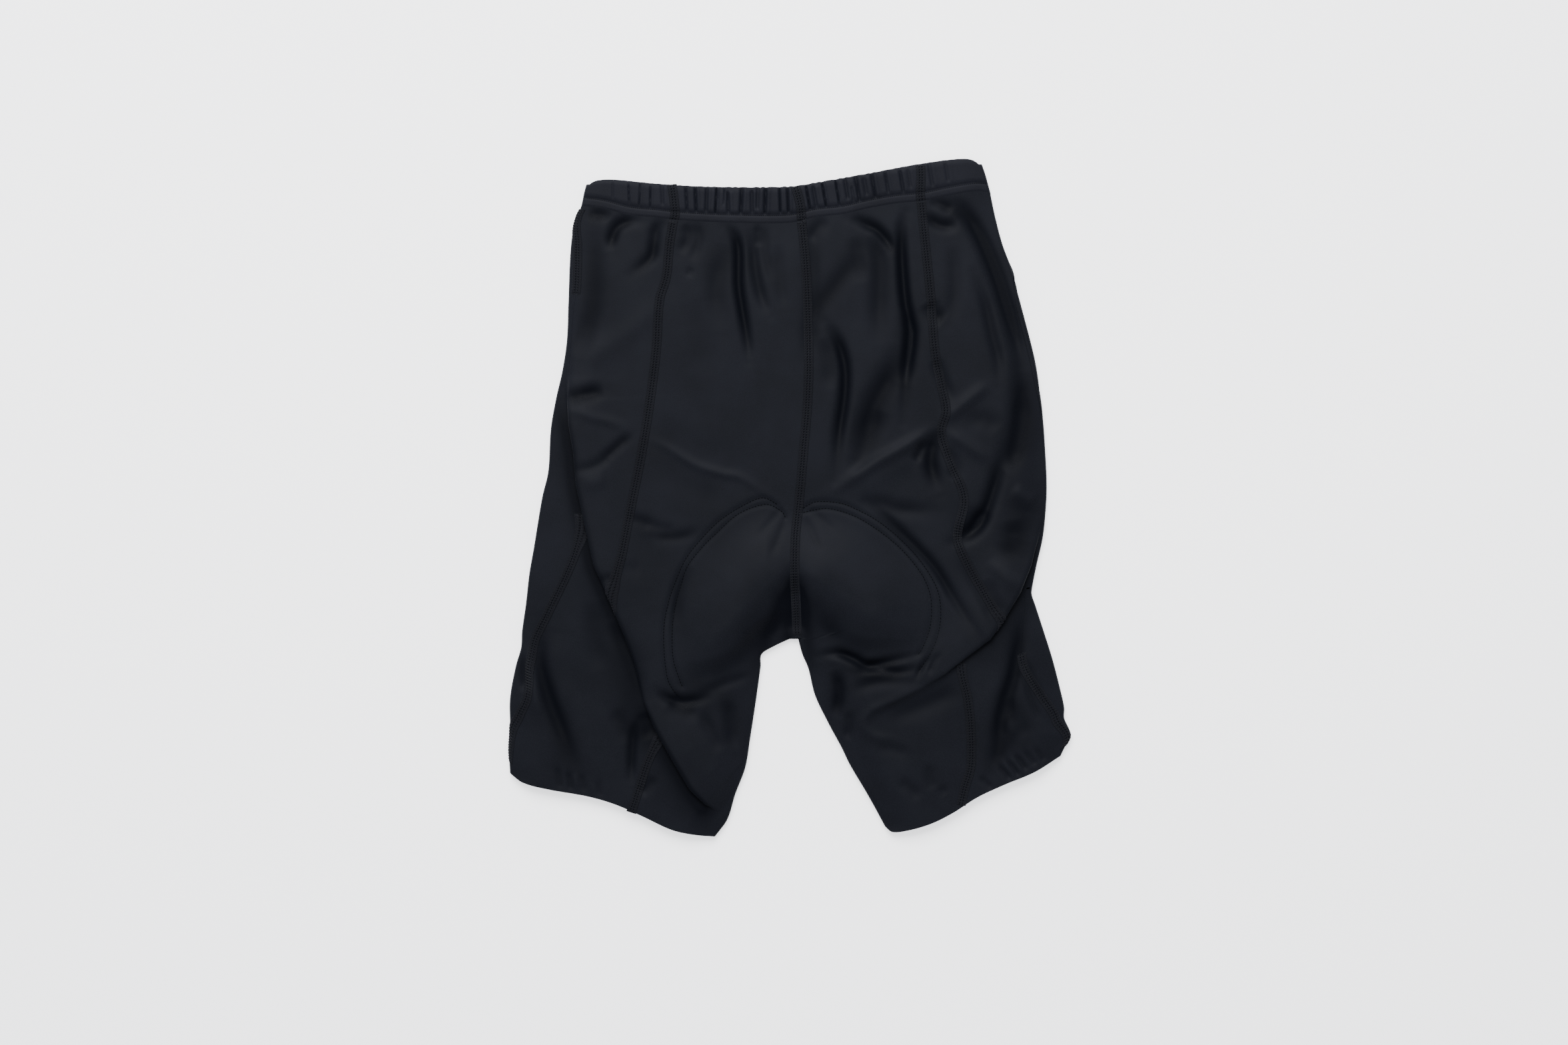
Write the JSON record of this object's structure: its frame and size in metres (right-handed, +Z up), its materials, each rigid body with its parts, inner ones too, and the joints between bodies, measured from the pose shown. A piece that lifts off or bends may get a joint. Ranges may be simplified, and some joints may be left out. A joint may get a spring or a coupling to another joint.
{
  "type": "cycling shorts",
  "caption": "Stretch cycling shorts laid flat with the back side up, with panelled legs, elastic waistband and a padded seat.",
  "frame": {"origin": "middle of the garment's outline, on the surface that it lies on", "axes": "+Y towards the waist, +Z up away from the surface, +X to the right as the back side is seen from above"},
  "size_m": [0.4198, 0.5073, 0.0173],
  "materials": {
    "cloth": "soft satin stretch knit",
    "band": "gathered stretch knit over elastic",
    "pad": "matte brushed padding"
  },
  "bodies": {
    "root": {"front_left": "cloth", "side_left": "cloth", "back_left": "cloth", "front_right": "cloth", "side_right": "cloth", "back_right": "cloth", "waistband": "band", "seat_pad": "pad"}
  },
  "joints": []
}
